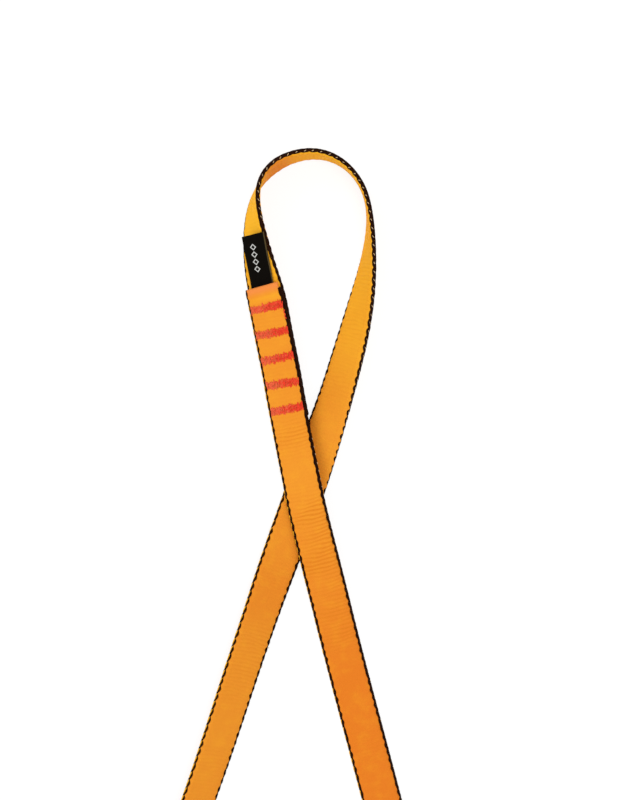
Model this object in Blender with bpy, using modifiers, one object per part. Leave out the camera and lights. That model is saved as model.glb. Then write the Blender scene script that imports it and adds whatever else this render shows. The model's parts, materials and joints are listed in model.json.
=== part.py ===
# Climbing sling: one sewn loop of flat webbing, laid down in a figure of eight.
# Metres, +Z up. The sling lies on z = 0 with its bar-tacked lap near the small loop.

import math

import bpy
import numpy as np
from mathutils import Matrix, Vector

# Driving sizes
laid_length = 0.548          # unit of the route: the sling lies 0.97 of this long
tape_width = 0.018
tape_thickness = 0.0022
stitch_draw_share = 0.02     # how much narrower the tape is where it is tacked
edge_width = 0.0011          # black yarns woven along each side of the tape
edge_rounding = 0.0004
clearance = 0.0003           # left between touching pieces
station_spacing = 0.0062     # between cross-sections of the swept tape

tack_count = 5
tack_first = 0.0100          # from the tape's upper end to the first bar tack
tack_pitch = 0.0117
tack_margin = 0.00124        # of bare tape left at each side of a tack
tack_width = 0.0042          # along the tape
tack_thickness = 0.0004
tack_rounding = 0.0001

label_width = 0.0108
label_length = 0.0208        # free part, from the line it bends on to its fold
label_thickness = 0.0005     # a ribbon folded double and pressed flat
label_tail_length = 0.0095   # part sewn in between the layers
label_root_gap = 0.0024      # from the tape's upper end to the line the label bends on
label_turn = 10.0            # degrees the label is sewn in out of line with the tape
label_pitch = 6.0            # degrees its free part is bent up from the lap
label_rounding = 0.0001
label_tail_stations = 4

# Route of the tape's centre line, from the upper end of the lap down the front leg, round
# the large loop, up the back leg and round the small loop to the lower end of the lap.
# Each row: x and y as shares of laid_length from the middle of the photograph, the roll
# about the line of travel in degrees, the layers of tape underneath, whether the label
# and whether the tack threads are underneath.
route_shares = (
    (-0.0366, 0.0943, 154, 1, 1, 1),
    (-0.0343, 0.0843, 163, 1, 1, 1),
    (-0.0323, 0.0744, 166, 1, 1, 1),
    (-0.0291, 0.0556, 168, 1, 0, 1),
    (-0.0254, 0.0370, 170, 1, 0, 1),
    (-0.0217, 0.0185, 171, 1, 0, 1),
    (-0.0187, 0.0000, 171, 1, 0, 1),
    (-0.0149, -0.0185, 170, 1, 0, 1),
    (-0.0108, -0.0389, 169, 1.1, 0, 0.8),
    (-0.0061, -0.0611, 169, 1.3, 0, 0.6),
    (-0.0015, -0.0852, 170, 1.4, 0, 0.4),
    (0.0044, -0.1111, 173, 1.4, 0, 0.2),
    (0.0112, -0.1407, 178, 1.4, 0, 0),
    (0.0175, -0.1667, 180, 0.7, 0, 0),
    (0.0252, -0.1981, 180, 0, 0, 0),
    (0.0338, -0.2315, 180, 0, 0, 0),
    (0.0432, -0.2667, 180, 0, 0, 0),
    (0.0550, -0.3111, 180, 0, 0, 0),
    (0.0690, -0.3640, 191, 0, 0, 0),
    (0.0860, -0.4390, 211, 0, 0, 0),
    (0.1010, -0.5320, 240, 0, 0, 0),
    (0.1060, -0.6180, 258, 0, 0, 0),
    (0.1005, -0.6720, 266, 0, 0, 0),
    (0.0835, -0.7140, 269, 0, 0, 0),
    (0.0560, -0.7440, 270, 0, 0, 0),
    (0.0190, -0.7600, 270, 0, 0, 0),
    (-0.0220, -0.7645, 270, 0, 0, 0),
    (-0.0630, -0.7600, 270, 0, 0, 0),
    (-0.1000, -0.7440, 270, 0, 0, 0),
    (-0.1310, -0.7140, 271, 0, 0, 0),
    (-0.1530, -0.6720, 275, 0, 0, 0),
    (-0.1620, -0.6180, 283, 0, 0, 0),
    (-0.1540, -0.5320, 298, 0, 0, 0),
    (-0.1315, -0.4390, 314, 0, 0, 0),
    (-0.1036, -0.3640, 324, 0, 0, 0),
    (-0.0815, -0.3037, 329, 0, 0, 0),
    (-0.0587, -0.2326, 332, 0, 0, 0),
    (-0.0390, -0.1741, 334, 0, 0, 0),
    (-0.0266, -0.1389, 345, 0, 0, 0),
    (-0.0129, -0.1019, 356, 0, 0, 0),
    (-0.0002, -0.0667, 363, 0, 0, 0),
    (0.0104, -0.0333, 377, 0, 0, 0),
    (0.0214, 0.0000, 393, 0, 0, 0),
    (0.0311, 0.0333, 397, 0, 0, 0),
    (0.0400, 0.0667, 407, 0, 0, 0),
    (0.0466, 0.0993, 424, 0, 0, 0),
    (0.0502, 0.1296, 442, 0, 0, 0),
    (0.0500, 0.1550, 452, 0, 0, 0),
    (0.0456, 0.1728, 454, 0, 0, 0),
    (0.0372, 0.1860, 455, 0, 0, 0),
    (0.0276, 0.1948, 454, 0, 0, 0),
    (0.0151, 0.2010, 452, 0, 0, 0),
    (0.0002, 0.2026, 449, 0, 0, 0),
    (-0.0158, 0.1991, 447, 0, 0, 0),
    (-0.0304, 0.1912, 444, 0, 0, 0),
    (-0.0422, 0.1770, 453, 0, 0, 0),
    (-0.0457, 0.1593, 467, 0, 0, 0),
    (-0.0453, 0.1407, 481, 0, 0, 0),
    (-0.0428, 0.1222, 495, 0, 0, 0),
    (-0.0397, 0.1056, 506, 0, 0, 0),
    (-0.0362, 0.0926, 515, 0, 0, 0.5),
    (-0.0343, 0.0843, 523, 0, 0, 1),
    (-0.0323, 0.0744, 526, 0, 0, 1),
    (-0.0291, 0.0556, 528, 0, 0, 1),
    (-0.0254, 0.0370, 530, 0, 0, 1),
    (-0.0217, 0.0185, 531, 0, 0, 1),
    (-0.0187, 0.0000, 531, 0, 0, 1),
    (-0.0154, -0.0157, 530, 0, 0, 1),
)
samples_per_row = 24         # points read off the smooth curve for each row of the route

# Finishes
orange_webbing = (0.86, 0.30, 0.018)
black_yarn = (0.012, 0.010, 0.009)
red_thread = (0.80, 0.055, 0.035)
label_black = (0.010, 0.009, 0.008)
cloth_roughness = 0.75

# Sizes that follow from those above
half_thickness = tape_thickness / 2
core_width = tape_width - 2 * edge_width - 2 * clearance
drawn_half_thickness = half_thickness * (1 - stitch_draw_share)
tack_length = tape_width * (1 - stitch_draw_share) - 2 * tack_margin


def smooth_rows(rows, samples):
    """Read a uniform cubic B-spline off the rows; it starts and ends on the first and last."""
    rows = np.asarray(rows, dtype=float)
    rows = np.vstack([2 * rows[0] - rows[1], rows, 2 * rows[-1] - rows[-2]])
    t = np.arange(samples) / samples
    weights = np.stack([(1 - t) ** 3,
                        3 * t ** 3 - 6 * t ** 2 + 4,
                        -3 * t ** 3 + 3 * t ** 2 + 3 * t + 1,
                        t ** 3], axis=1) / 6
    spans = [weights @ rows[first:first + 4] for first in range(len(rows) - 3)]
    return np.vstack(spans + [rows[-2:-1]])


def edge_outline(side):
    """Cross-section of the black yarns on one side (+1 or -1) of the tape."""
    outer = tape_width / 2
    inner = outer - edge_width
    right = [(inner, -half_thickness), (inner, half_thickness),
             (outer - edge_rounding, half_thickness), (outer, half_thickness - edge_rounding),
             (outer, edge_rounding - half_thickness), (outer - edge_rounding, -half_thickness)]
    return right if side > 0 else [(-x, y) for x, y in reversed(right)]


def flat_outline(width, low, high):
    """Cross-section of a flat strip between two heights."""
    return [(-width / 2, low), (-width / 2, high), (width / 2, high), (width / 2, low)]


def unit(vectors):
    return vectors / np.linalg.norm(vectors, axis=-1, keepdims=True)


def lay_tape():
    """Lay the tape along its route and cut it into even stations, centred on x = y = 0."""
    rows = smooth_rows(route_shares, samples_per_row)
    plan = rows[:, :2] * laid_length
    roll = np.radians(rows[:, 2])
    layers, label, threads = rows[:, 3:].T
    drawn = 1 - stitch_draw_share * threads

    # The lowest corner of the rolled section rests on the floor, or on the tack threads.
    corners = np.array(edge_outline(1) + edge_outline(-1))
    lowest = (np.outer(np.sin(roll), corners[:, 0]) + np.outer(np.cos(roll), corners[:, 1])).min(axis=1)
    height = threads * (tack_thickness + clearance) - lowest * drawn

    # An upper layer is lifted off the lower one, square to its face.
    rise = layers * (tape_thickness * drawn + clearance + label * (label_thickness + clearance))
    travel = unit(np.gradient(plan, axis=0))
    right = np.stack([travel[:, 1], -travel[:, 0]], axis=1)
    facing = np.sign(np.cos(roll))
    centre = np.column_stack([plan - right * (np.sin(roll) * facing * rise)[:, None],
                              height + np.cos(roll) * facing * rise])

    distance = np.concatenate([[0], np.cumsum(np.linalg.norm(np.diff(centre, axis=0), axis=1))])
    even = np.linspace(0, distance[-1], round(distance[-1] / station_spacing) + 1)
    x, y, z, roll, rise, drawn = (np.interp(even, distance, column) for column in (*centre.T, roll, rise, drawn))
    centre = np.stack([x, y, z], axis=1)

    # Axes of each section: across the tape, along it, and out of its woven face
    along = unit(np.gradient(centre, axis=0))
    up = unit(np.array([0, 0, 1]) - along * along[:, 2:])
    right = np.cross(along, up)
    across = right * np.cos(roll)[:, None] + up * np.sin(roll)[:, None]
    face = up * np.cos(roll)[:, None] - right * np.sin(roll)[:, None]

    outline = corners * drawn[:, None, None]
    skin = centre[:, None] + across[:, None] * outline[..., :1] + face[:, None] * outline[..., 1:]
    middle = (skin.min(axis=(0, 1)) + skin.max(axis=(0, 1))) / 2
    centre = centre - middle * np.array([1, 1, 0])
    return {"distance": even, "centre": centre, "across": across, "along": along, "face": face,
            "roll": roll, "rise": rise, "drawn": drawn}


def station(tape, reach):
    """Read the tape at a distance from its upper end, which may be a little before it."""
    here = {}
    for key, column in tape.items():
        table = column.reshape(len(column), -1).T
        here[key] = np.array([np.interp(reach, tape["distance"], line) for line in table])
    here["centre"] = here["centre"] + unit(here["along"]) * min(reach, 0)
    here["up"] = -unit(here["face"])
    here["side"] = unit(here["across"])
    return here


def finish(name, colour):
    material = bpy.data.materials.new(name)
    material.use_nodes = True
    shader = material.node_tree.nodes["Principled BSDF"]
    shader.inputs["Base Color"].default_value = (*colour, 1)
    shader.inputs["Roughness"].default_value = cloth_roughness
    shader.inputs["Metallic"].default_value = 0
    material.diffuse_color = (*colour, 1)
    return material


def section_guide(name, outline):
    """A closed flat curve that a swept piece takes its cross-section from."""
    curve = bpy.data.curves.new(name, "CURVE")
    curve.dimensions = "2D"
    spline = curve.splines.new("POLY")
    spline.points.add(len(outline) - 1)
    for point, (x, y) in zip(spline.points, outline):
        point.co = (x, y, 0, 1)
    spline.use_cyclic_u = True
    guide = bpy.data.objects.new(name, curve)
    guide.hide_render = True
    guide.display_type = "WIRE"
    guides.objects.link(guide)
    return guide


def sweep(name, outline, centres, rolls, scales, colour):
    """Carry an outline along the stations: a curve with a section guide and filled caps."""
    curve = bpy.data.curves.new(name, "CURVE")
    curve.dimensions = "3D"
    curve.twist_mode = "Z_UP"
    curve.bevel_mode = "OBJECT"
    curve.bevel_object = section_guide(name + "_section", outline)
    curve.use_fill_caps = True
    path = curve.splines.new("POLY")
    path.points.add(len(centres) - 1)
    for point, centre, roll, scale in zip(path.points, centres, rolls, scales):
        point.co = (*centre, 1)
        point.tilt = -roll
        point.radius = scale
    curve.materials.append(finish(name, colour))
    piece = bpy.data.objects.new(name, curve)
    parts.objects.link(piece)
    return piece


def slab(name, size, middle, place, rounding, colour):
    """A flat rounded block: middle is its centre in its own axes, and place holds its origin."""
    bpy.ops.mesh.primitive_cube_add(size=1)
    piece = bpy.context.object
    for collection in piece.users_collection:
        collection.objects.unlink(piece)
    parts.objects.link(piece)
    piece.name = name
    piece.data.name = name
    piece.data.transform(Matrix.Translation(middle) @ Matrix.Diagonal((*size, 1)))
    bevel = piece.modifiers.new("rounding", "BEVEL")
    bevel.width = rounding
    bevel.segments = 1
    piece.data.materials.append(finish(name, colour))
    piece.matrix_world = place
    return piece


def placed(origin, side, up):
    """A matrix with x across the tape, z out of its upper side and y along it."""
    side, up = Vector(side), Vector(up)
    return Matrix.Translation(origin) @ Matrix((side, up.cross(side), up)).transposed().to_4x4()


def make_tape(tape):
    """The orange ground weave and the black yarns on its two sides."""
    run = (tape["centre"], tape["roll"], tape["drawn"])
    sweep("webbing_tape", flat_outline(core_width, -half_thickness, half_thickness), *run, orange_webbing)
    sweep("edge_yarn_right", edge_outline(1), *run, black_yarn)
    sweep("edge_yarn_left", edge_outline(-1), *run, black_yarn)


def make_tacks(tape):
    """Needle thread on top of the lap and bobbin thread underneath, at every bar tack."""
    size = (tack_length, tack_width, tack_thickness)
    off_face = drawn_half_thickness + clearance + tack_thickness / 2
    for number in range(tack_count):
        here = station(tape, tack_first + number * tack_pitch)
        for thread, reach in (("needle", off_face), ("bobbin", -off_face - here["rise"])):
            place = placed(here["centre"] + here["up"] * reach, here["side"], here["up"])
            slab(f"tack_{thread}_thread_{number + 1}", size, (0, 0, 0), place, tack_rounding, red_thread)


def make_label(tape):
    """The label's tail, sewn in at a turn between the layers, and its flap bent up beyond them."""
    low = drawn_half_thickness + clearance
    turn = math.radians(label_turn)
    reaches = np.linspace(clearance - label_root_gap, label_tail_length, label_tail_stations)
    stops = [station(tape, reach) for reach in reaches]
    drift = math.tan(turn) * (reaches + label_root_gap)
    sweep("label_tail", flat_outline(label_width, low, low + label_thickness),
          [stop["centre"] - stop["side"] * aside for stop, aside in zip(stops, drift)],
          [stop["roll"][0] for stop in stops], [1] * len(stops), label_black)

    here = station(tape, -label_root_gap)
    root = here["centre"] - here["up"] * (low + label_thickness / 2)
    bend = Matrix.Rotation(-turn, 3, Vector(here["up"])) @ Vector(here["side"])
    place = (Matrix.Translation(root) @ Matrix.Rotation(math.radians(label_pitch), 4, bend)
             @ placed((0, 0, 0), bend, here["up"]))
    slab("label_flap", (label_width, label_length, label_thickness), (0, label_length / 2, 0),
         place, label_rounding, label_black)
    return root, bend


for old in list(bpy.data.objects):
    bpy.data.objects.remove(old)
parts = bpy.data.collections.new("climbing_sling")
guides = bpy.data.collections.new("section_guides")
bpy.context.scene.collection.children.link(parts)
bpy.context.scene.collection.children.link(guides)

tape = lay_tape()
make_tape(tape)
make_tacks(tape)
hinge_point, hinge_axis = make_label(tape)
print(f"tape cut to {tape['distance'][-1] * 1000:.0f} mm, {len(tape['distance'])} stations")
print("label bends at", hinge_point.round(5), "about", [round(part, 4) for part in hinge_axis])
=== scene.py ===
import json
import math

import bpy
import numpy as np
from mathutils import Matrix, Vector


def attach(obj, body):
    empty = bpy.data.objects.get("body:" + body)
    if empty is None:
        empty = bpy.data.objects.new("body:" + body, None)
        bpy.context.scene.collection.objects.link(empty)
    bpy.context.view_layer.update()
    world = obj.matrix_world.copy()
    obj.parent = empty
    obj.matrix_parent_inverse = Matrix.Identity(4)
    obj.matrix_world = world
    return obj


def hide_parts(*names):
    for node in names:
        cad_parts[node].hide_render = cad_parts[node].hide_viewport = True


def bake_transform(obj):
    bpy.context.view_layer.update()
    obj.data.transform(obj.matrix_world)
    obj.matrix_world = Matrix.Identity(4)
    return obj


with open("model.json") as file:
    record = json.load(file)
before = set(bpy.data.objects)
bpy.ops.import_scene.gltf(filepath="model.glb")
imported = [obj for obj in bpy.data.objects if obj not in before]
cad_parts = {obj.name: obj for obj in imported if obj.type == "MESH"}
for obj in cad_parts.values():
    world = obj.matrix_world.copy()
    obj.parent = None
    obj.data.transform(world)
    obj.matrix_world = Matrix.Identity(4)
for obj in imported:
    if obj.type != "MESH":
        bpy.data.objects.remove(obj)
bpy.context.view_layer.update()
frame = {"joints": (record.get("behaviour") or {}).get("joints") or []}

# Climbing sling: everything is made on the flat tape and then carried onto the line it lies along.
# On the flat tape s runs along it from the lap's upper end, u across it and v out of its face.

tape = {
    "laidLength": 0.548,  # unit of the route
    "width": 0.018,
    "thickness": 0.0022,
    "edgeRounding": 0.0004,
    "drawShare": 0.02,  # how much the bar tacks draw it in
    "clearance": 0.0003,
    "threadThickness": 0.0004,  # room left under the lap for the tacks' thread
    "labelThickness": 0.0005,
    "samplesPerRow": 80,
    "step": 0.0004,  # between the stations that pieces are read from
}

# x share, y share and roll in degrees, then layers, label and threads under it where there are any
route = (
    (-0.0366, 0.0943, 154, 1, 1, 1),
    (-0.0343, 0.0843, 163, 1, 1, 1),
    (-0.0323, 0.0744, 166, 1, 1, 1),
    (-0.0291, 0.0556, 168, 1, 0, 1),
    (-0.0254, 0.0370, 170, 1, 0, 1),
    (-0.0217, 0.0185, 171, 1, 0, 1),
    (-0.0187, 0.0000, 171, 1, 0, 1),
    (-0.0149, -0.0185, 170, 1, 0, 1),
    (-0.0108, -0.0389, 169, 1.1, 0, 0.8),
    (-0.0061, -0.0611, 169, 1.3, 0, 0.6),
    (-0.0015, -0.0852, 170, 1.4, 0, 0.4),
    (0.0044, -0.1111, 173, 1.4, 0, 0.2),
    (0.0112, -0.1407, 178, 1.4, 0, 0),
    (0.0175, -0.1667, 180, 0.7, 0, 0),
    (0.0252, -0.1981, 180),
    (0.0338, -0.2315, 180),
    (0.0432, -0.2667, 180),
    (0.0550, -0.3111, 180),
    (0.0690, -0.3640, 191),
    (0.0860, -0.4390, 211),
    (0.1010, -0.5320, 240),
    (0.1060, -0.6180, 258),
    (0.1005, -0.6720, 266),
    (0.0835, -0.7140, 269),
    (0.0560, -0.7440, 270),
    (0.0190, -0.7600, 270),
    (-0.0220, -0.7645, 270),
    (-0.0630, -0.7600, 270),
    (-0.1000, -0.7440, 270),
    (-0.1310, -0.7140, 271),
    (-0.1530, -0.6720, 275),
    (-0.1620, -0.6180, 283),
    (-0.1540, -0.5320, 298),
    (-0.1315, -0.4390, 314),
    (-0.1036, -0.3640, 324),
    (-0.0815, -0.3037, 329),
    (-0.0587, -0.2326, 332),
    (-0.0390, -0.1741, 334),
    (-0.0266, -0.1389, 345),
    (-0.0129, -0.1019, 356),
    (-0.0002, -0.0667, 363),
    (0.0104, -0.0333, 377),
    (0.0214, 0.0000, 393),
    (0.0311, 0.0333, 397),
    (0.0400, 0.0667, 407),
    (0.0466, 0.0993, 424),
    (0.0502, 0.1296, 442),
    (0.0500, 0.1550, 452),
    (0.0456, 0.1728, 454),
    (0.0372, 0.1860, 455),
    (0.0276, 0.1948, 454),
    (0.0151, 0.2010, 452),
    (0.0002, 0.2026, 449),
    (-0.0158, 0.1991, 447),
    (-0.0304, 0.1912, 444),
    (-0.0422, 0.1770, 453),
    (-0.0457, 0.1593, 467),
    (-0.0453, 0.1407, 481),
    (-0.0428, 0.1222, 495),
    (-0.0397, 0.1056, 506),
    (-0.0362, 0.0926, 515, 0, 0, 0.5),
    (-0.0343, 0.0843, 523, 0, 0, 1),
    (-0.0323, 0.0744, 526, 0, 0, 1),
    (-0.0291, 0.0556, 528, 0, 0, 1),
    (-0.0254, 0.0370, 530, 0, 0, 1),
    (-0.0217, 0.0185, 531, 0, 0, 1),
    (-0.0187, 0.0000, 531, 0, 0, 1),
    (-0.0154, -0.0157, 530, 0, 0, 1),
)
routeShares = np.array([row + (0, 0, 0)[:6 - len(row)] for row in route])


# Each vector divided by its own length
def unit(vectors):
    return vectors / np.linalg.norm(vectors, axis=-1, keepdims=True)


# Numbers and arrays spread over each other's axes and joined as the last axis, such as x, y and z
def together(*parts):
    return np.stack(np.broadcast_arrays(*parts), axis=-1)


# Uniform cubic B-spline: each point is a blend of four neighbouring rows, with weights that are
# cubic in the share t of the way between two rows. It begins on the first row and ends on the last.
def smoothRows(rows, samples):
    rows = np.vstack([2 * rows[0] - rows[1], rows, 2 * rows[-1] - rows[-2]])
    t = np.arange(samples) / samples
    weights = np.stack([(1 - t) ** 3, 3 * t ** 3 - 6 * t ** 2 + 4,
                        -3 * t ** 3 + 3 * t ** 2 + 3 * t + 1, t ** 3], axis=1) / 6
    windows = np.stack([rows[i:len(rows) - 3 + i] for i in range(4)], axis=1)
    return np.vstack([(weights @ windows).reshape(-1, rows.shape[1]), rows[-2:-1]])


# The tape's centre line and axes: the route's plan, a height that stands the rolled section's lowest
# corner on the floor, and a lift off the lower layer square to its face, read at even distances.
def layTape():
    rows = smoothRows(routeShares, tape["samplesPerRow"])
    plan = rows[:, :2] * tape["laidLength"]
    roll = np.radians(rows[:, 2])
    layers, label, threads = rows[:, 3:].T
    drawn = 1 - tape["drawShare"] * threads
    side, half, cut = tape["width"] / 2, tape["thickness"] / 2, tape["edgeRounding"]
    corners = np.array([(x * a, y * b) for x, y in ((side - cut, half), (side, half - cut))
                        for a in (1, -1) for b in (1, -1)])
    lowest = (np.outer(np.sin(roll), corners[:, 0]) + np.outer(np.cos(roll), corners[:, 1])).min(axis=1)
    height = threads * (tape["threadThickness"] + tape["clearance"]) - lowest * drawn
    rise = layers * (tape["thickness"] * drawn + tape["clearance"]
                     + label * (tape["labelThickness"] + tape["clearance"]))
    travel = unit(np.gradient(plan, axis=0))
    right = np.stack([travel[:, 1], -travel[:, 0]], axis=1)
    facing = np.sign(np.cos(roll))
    centre = np.column_stack([plan - right * (np.sin(roll) * facing * rise)[:, None],
                              height + np.cos(roll) * facing * rise])

    distance = np.concatenate([[0], np.cumsum(np.linalg.norm(np.diff(centre, axis=0), axis=1))])
    even = np.linspace(0, distance[-1], round(distance[-1] / tape["step"]) + 1)
    table = [np.interp(even, distance, column) for column in (*centre.T, roll, drawn)]
    centre, (roll, drawn) = np.stack(table[:3], axis=1), table[3:]
    along = unit(np.gradient(centre, axis=0))
    up = unit(np.array([0, 0, 1]) - along * along[:, 2:])
    right = np.cross(along, up)
    across = right * np.cos(roll)[:, None] + up * np.sin(roll)[:, None]
    face = up * np.cos(roll)[:, None] - right * np.sin(roll)[:, None]
    outline = corners * drawn[:, None, None]
    skin = centre[:, None] + across[:, None] * outline[..., :1] + face[:, None] * outline[..., 1:]
    centre -= (skin.min(axis=(0, 1)) + skin.max(axis=(0, 1))) / 2 * np.array([1, 1, 0])
    return {"distance": even, "centre": centre, "across": across, "along": along, "face": face,
            "drawn": drawn[:, None]}


laid = layTape()
tapeLength = laid["distance"][-1]
print(f"tape laid: {tapeLength * 1000:.0f} mm in {len(laid['distance'])} stations")


# One column or set of columns of the laid tape, read at the distances s
def readTape(key, s):
    return np.stack([np.interp(s, laid["distance"], column) for column in laid[key].T], axis=-1)


# A point of the flat tape in its real place: the centre line at s, plus u along the across axis and
# v along the face axis, both drawn in with the tape at the lap. Before s = 0 the line runs straight on.
def onTape(s, u, v, drawIn=True):
    s, u, v = np.broadcast_arrays(s, u, v)
    scale = readTape("drawn", s) if drawIn else 1
    return (readTape("centre", s) + readTape("along", s) * np.minimum(s, 0)[..., None]
            + readTape("across", s) * scale * u[..., None] + readTape("face", s) * scale * v[..., None])


# Slow irregular drift between about -1 and 1: three sines of unlike wavelength with seeded phases
def drift(s, wavelength, seed):
    phases = np.random.default_rng(seed).uniform(0, 2 * np.pi, 3)
    return sum(np.sin(2 * np.pi * s / (wavelength * stretch) + phase)
               for stretch, phase in zip((1, 0.618, 1.73), phases)) / 2


# A value that changes along the tape, straight between its stops, which are (distance, value) pairs
def atStops(s, stops):
    return np.interp(s, *np.transpose(stops))


# Quads between rings whose points are numbered ring by ring: each joins a column to the next one, or
# the last column to the first, and a ring to the next one.
def gridFaces(rows, columns):
    row = np.arange(rows - 1)[:, None] * columns
    left = np.arange(columns)[None]
    right = (left + 1) % columns
    corners = (row + left, row + right, row + right + columns, row + left + columns)
    return np.stack(corners, axis=-1).reshape(-1, 4)


# An object in the scene, from its data
def putObject(name, data):
    item = bpy.data.objects.new(name, data)
    bpy.context.scene.collection.objects.link(item)
    return item


# A mesh object from arrays: points, quads or other faces, and a flat map in millimetres at each corner
def putMesh(name, points, faces, corners, material, masks=None):
    mesh = bpy.data.meshes.new(name)
    mesh.from_pydata(points.reshape(-1, 3).tolist(), [], [list(face) for face in faces])
    layer = mesh.uv_layers.new(name="flat")
    layer.data.foreach_set("uv", np.asarray(corners, dtype=np.float32).ravel())
    for key, values in (masks or {}).items():
        attribute = mesh.attributes.new(key, "FLOAT", "POINT")
        attribute.data.foreach_set("value", np.ravel(values).astype(np.float32))
    mesh.shade_smooth()
    mesh.materials.append(material)
    return putObject(name, mesh)


# Section of a flat strip: a face from left to right, a round side, the other face and the other side.
# A side is a half ellipse that stands out by reach and is as high as the strip is thick.
def stripSection(flatHalf, reach, half, size):
    face = np.linspace(-flatHalf, flatHalf, size["columns"])
    bend = np.linspace(np.pi / 2, -np.pi / 2, size["edgeColumns"] + 2)[1:-1]
    side = flatHalf + reach * np.cos(bend)
    level = np.full(len(face), half)
    across = np.concatenate([face, side, face[::-1], -side])
    return across, np.concatenate([level, half * np.sin(bend), -level, -half * np.sin(bend)])


# A strip as a closed mesh, from rows of such sections. Each end is a row of quads that join a column of
# one face to the column opposite it, and the same over the round sides. Across and along are its flat
# map, in millimetres.
def putStrip(name, points, across, along, size, material, masks=None):
    rows, columns = points.shape[:2]
    upper = np.arange(-(size["edgeColumns"] // 2), size["columns"] + size["edgeColumns"] // 2)
    lower = 2 * size["columns"] + size["edgeColumns"] - 1 - upper
    caps = np.stack([upper[:-1], upper[1:], lower[1:], lower[:-1]], axis=1) % columns
    faces = np.vstack([gridFaces(rows, columns), caps[:, ::-1], caps + (rows - 1) * columns])
    flatMap = together(across, along).reshape(-1, 2)
    return putMesh(name, points, faces, flatMap[faces.ravel()], material, masks)


# Round tubes along many paths at once, on the flat tape: a circle in the plane square to each path,
# its radius scaled by lobes that wind round it as plies do. Over the blunt length it narrows to its
# tip as a quarter circle does, and its ends are closed with one face each.
def flatTubes(paths, radius, sides, plies=0, plyDepth=0.0, plyLay=1.0, blunt=0.0, tip=0.04):
    count, length = paths.shape[:2]
    travel = unit(np.gradient(paths, axis=1))
    side = unit(np.cross(travel, np.array([0, 0, 1.0])))
    up = np.cross(side, travel)
    steps = np.linalg.norm(np.diff(paths, axis=1), axis=2)
    gone = np.concatenate([np.zeros((count, 1)), np.cumsum(steps, axis=1)], axis=1)
    angle = np.arange(sides) / sides * 2 * np.pi
    wide = radius * (1 + plyDepth * np.cos(plies * angle - 2 * np.pi * gone[..., None] / plyLay))
    if blunt:
        left = np.minimum(gone, gone[:, -1:] - gone)[..., None]
        wide = wide * np.sqrt(np.clip(1 - (1 - np.minimum(left / blunt, 1)) ** 2, tip, 1))
    points = (paths[:, :, None] + side[:, :, None] * (wide * np.cos(angle))[..., None]
              + up[:, :, None] * (wide * np.sin(angle))[..., None])
    grid = gridFaces(length, sides)
    base = np.arange(count)[:, None, None] * length * sides
    walls = (grid[None] + base).reshape(-1, 4)
    first = (np.arange(sides)[::-1][None] + base[:, 0]).tolist()
    last = (np.arange(sides)[None] + (length - 1) * sides + base[:, 0]).tolist()
    turn = np.tile(np.array([0, 1, 1, 0]) / sides, (sides, 1)) + np.arange(sides)[:, None] / sides
    around = np.tile(turn, (length - 1, 1))
    rows = np.repeat(np.arange(length - 1), sides)
    along = gone[:, np.stack([rows, rows, rows + 1, rows + 1], axis=1)] * 1000
    corners = together(around, along).reshape(-1, 2)
    return points, walls.tolist() + first + last, np.vstack([corners, np.zeros((2 * count * sides, 2))])


# Tubes made on the flat tape and then carried onto it, as one mesh; mask gives each point a share
def putTubes(name, *sets, material, mask=None):
    points, faces, corners = [], [], []
    for flat, quads, flatMap in sets:
        first = sum(len(part) for part in points)
        points.append(flat.reshape(-1, 3))
        faces += [[first + index for index in face] for face in quads]
        corners.append(flatMap)
    points = np.vstack(points)
    masks = {"fade": mask(points)} if mask else None
    return putMesh(name, onTape(*points.T), faces, np.vstack(corners), material, masks)


# Materials

palette = {
    "orange": (0.805, 0.290, 0.024),
    "deepOrange": (0.735, 0.186, 0.015),
    "yellowOrange": (0.95, 0.490, 0.021),
    # Painted shade for the lows between ribs
    "paintedRibShade": (0.64, 0.176, 0.008),
    "sealedEnd": (0.82, 0.250, 0.052),
    "blackYarn": (0.016, 0.0038, 0.0010),
    "brownBlack": (0.046, 0.011, 0.0030),
    "red": (0.86, 0.058, 0.026),
    "salmon": (0.87, 0.145, 0.060),
    # Painted highlight: this cream stands in for glints on the clear catch thread
    "creamGlint": (0.70, 0.50, 0.29),
    "labelBlack": (0.0028, 0.0020, 0.0012),
    "labelBrown": (0.0045, 0.0032, 0.0020),
    # Partly the label's edge yarn and partly painted shade standing in for the shaded tape beside the label
    "labelEdgeAndPaintedShade": (0.150, 0.105, 0.042),
    "labelGrey": (0.66, 0.66, 0.63),
}


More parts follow.
